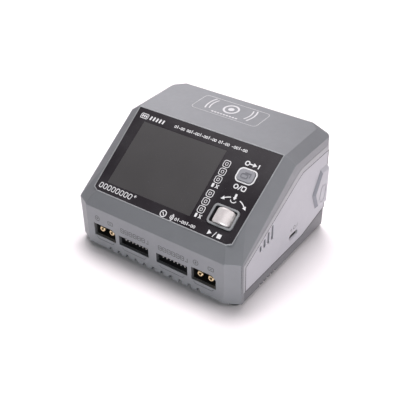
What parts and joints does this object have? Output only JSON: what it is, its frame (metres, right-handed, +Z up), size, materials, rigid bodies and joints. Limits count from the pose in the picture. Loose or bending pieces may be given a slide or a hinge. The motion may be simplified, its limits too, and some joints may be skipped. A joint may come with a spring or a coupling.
{
  "type": "balance battery charger",
  "caption": "Desk charger for model batteries: wedge case with sloped display face, press roller, port button, battery and balance sockets in the front, fan and inlets in the rear.",
  "frame": {"origin": "middle of the case's outline, on the surface that the rubber feet stand on", "axes": "+X to the right of someone facing the sockets and the display, +Y from the sockets to the rear, +Z up"},
  "size_m": [0.118, 0.096, 0.069],
  "materials": {
    "shell": "gunmetal satin, fine grain",
    "cover": "light grey satin",
    "base": "dark grey satin",
    "rubber": "matt",
    "steel": "turned and plated",
    "label": "printed film",
    "lens": "glossy black",
    "display": "smoked glossy",
    "board": "lacquered circuit board",
    "black_plastic": "matt black",
    "button": "satin grey",
    "bezel": "satin dark grey",
    "roller": "turned, finely knurled",
    "socket": "moulded nylon",
    "balance_socket": "moulded nylon",
    "brass": "gold plated",
    "tin": "tin plated",
    "copper": "enamelled winding",
    "aluminium": "extruded",
    "ferrite": "ferrite",
    "cable": "flat cable",
    "wire": "insulated wire"
  },
  "bodies": {
    "charger": {"top_shell": "shell", "bottom_shell": "base", "side_panel_left": "cover", "side_panel_right": "cover", "rear_panel": "shell", "rubber_feet": "rubber", "case_screws": "steel", "rating_label": "label", "front_lens": "lens", "lcd_display": "display", "lcd_holder": "black_plastic", "control_board": "board", "control_screws": "steel", "button_switch": "black_plastic", "roller_bezel": "bezel", "roller_board": "board", "roller_switch": "black_plastic", "roller_encoder": "black_plastic", "output_socket_a": "socket", "output_socket_b": "socket", "output_pins_a": "brass", "output_pins_b": "brass", "balance_socket_a": "balance_socket", "balance_socket_b": "balance_socket", "balance_pins_a": "tin", "balance_pins_b": "tin", "data_socket": "steel", "main_board": "board", "board_screws": "steel", "inductors": "copper", "board_capacitors": "black_plastic", "heat_sink_left": "aluminium", "heat_sink_right": "aluminium", "power_transistors": "black_plastic", "buzzer": "black_plastic", "power_board": "board", "board_standoffs": "brass", "transformer_core": "ferrite", "transformer_winding": "copper", "bulk_capacitors": "black_plastic", "ac_inlet": "black_plastic", "ac_inlet_pins": "steel", "dc_input_socket": "socket", "dc_input_pins": "brass", "fan_frame": "black_plastic", "fan_screws": "steel", "antenna_board": "board", "ribbon_cable": "cable", "ac_wires": "wire", "dc_wires": "wire"},
    "port_key": {"port_button": "button"},
    "roller_press": {"roller_carriage": "black_plastic"},
    "roller": {"roller_wheel": "roller", "roller_axle": "steel"},
    "fan": {"fan_rotor": "black_plastic"}
  },
  "joints": [
    {"name": "port_key_press", "type": "slide", "parent": "charger", "child": "port_key", "axis": [0, 0.5505, -0.8348], "range_m": [0, 0.0005], "stiffness_N_per_m": 600, "springref_m": -0.0008},
    {"name": "roller_press_in", "type": "slide", "parent": "charger", "child": "roller_press", "axis": [0, 0.5505, -0.8348], "range_m": [0, 0.0006], "stiffness_N_per_m": 1500, "springref_m": -0.0008},
    {"name": "roller_spin", "type": "hinge", "parent": "roller_press", "child": "roller", "pos_m": [0.0362, -0.02766, 0.041], "axis": [0, 0.8348, 0.5505], "continuous": true},
    {"name": "fan_spin", "type": "hinge", "parent": "charger", "child": "fan", "pos_m": [0, 0.0408, 0.037], "axis": [0, 1, 0], "continuous": true}
  ]
}
